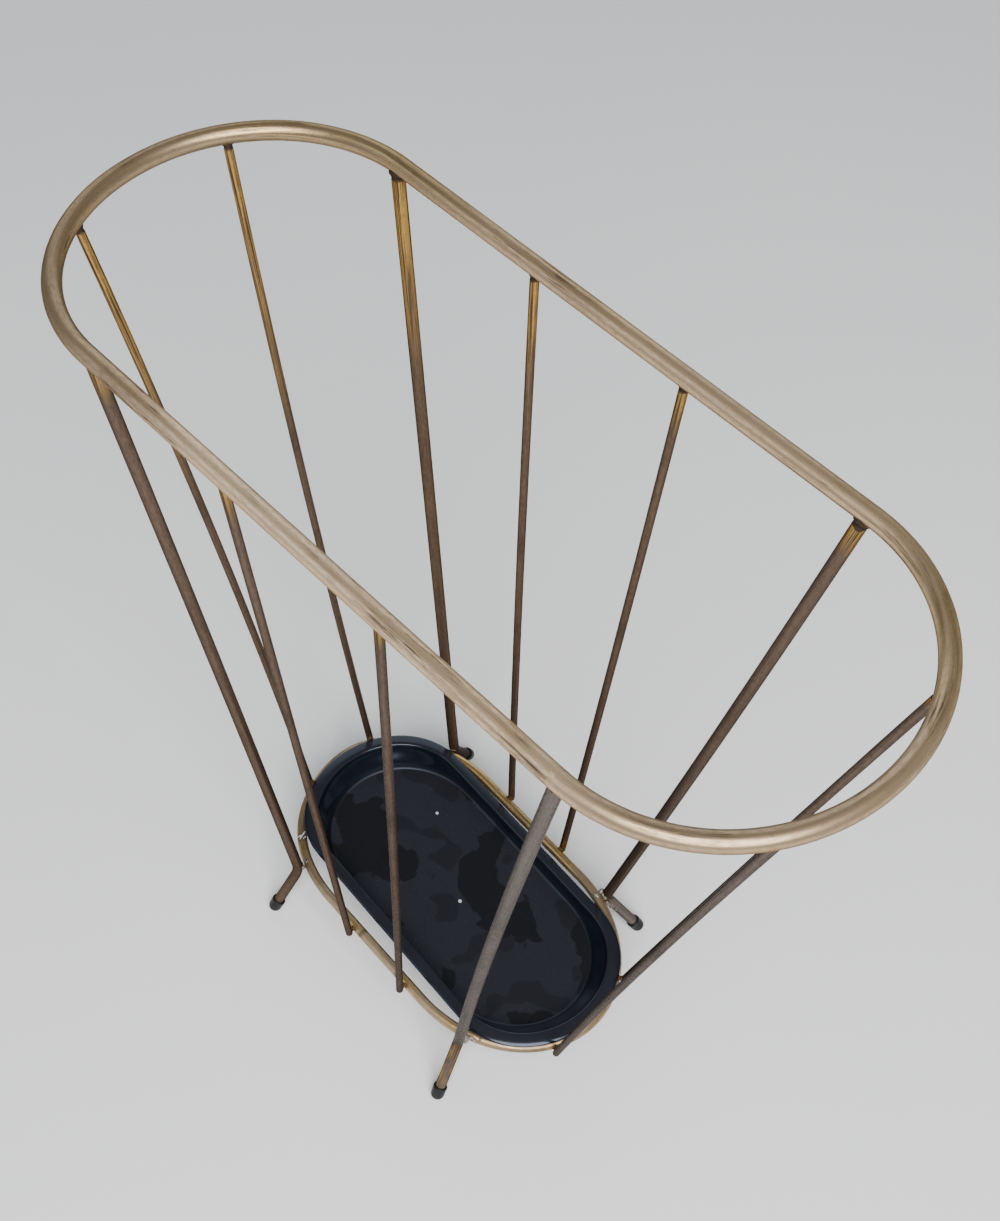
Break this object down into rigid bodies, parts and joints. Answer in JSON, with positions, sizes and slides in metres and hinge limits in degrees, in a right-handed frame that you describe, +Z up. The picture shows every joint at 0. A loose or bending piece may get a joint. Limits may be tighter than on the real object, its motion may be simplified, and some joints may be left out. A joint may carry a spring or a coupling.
{
  "type": "magazine rack",
  "caption": "Tall tapered wire magazine rack with an oval rim, straight uprights, splayed feet and a lift-out drip tray.",
  "frame": {"origin": "on the floor under the middle of the oval rim", "axes": "+Z up, +X along the rack's long axis, -Y towards its front"},
  "size_m": [0.494, 0.2104, 0.515],
  "materials": {
    "aged_brass": "satin, dark olive-brown patina",
    "yellow_brass": "satin, lighter golden",
    "black_rubber": "matte",
    "black_gloss": "gloss"
  },
  "bodies": {
    "frame": {"rim": "aged_brass", "lower_ring": "yellow_brass", "rod_front_left": "aged_brass", "rod_front_right": "aged_brass", "rod_back_left": "aged_brass", "rod_back_right": "aged_brass", "rod_left_front": "aged_brass", "rod_left_back": "aged_brass", "rod_right_back": "aged_brass", "rod_right_front": "aged_brass", "leg_front_left": "aged_brass", "leg_front_right": "aged_brass", "leg_back_right": "aged_brass", "leg_back_left": "aged_brass", "foot_cap_front_left": "black_rubber", "foot_cap_front_right": "black_rubber", "foot_cap_back_right": "black_rubber", "foot_cap_back_left": "black_rubber"},
    "tray": {"tray": "black_gloss"}
  },
  "joints": [
    {"name": "tray_lift", "type": "slide", "parent": "frame", "child": "tray", "axis": [0, 0, 1], "range_m": [0, 0.49]}
  ]
}
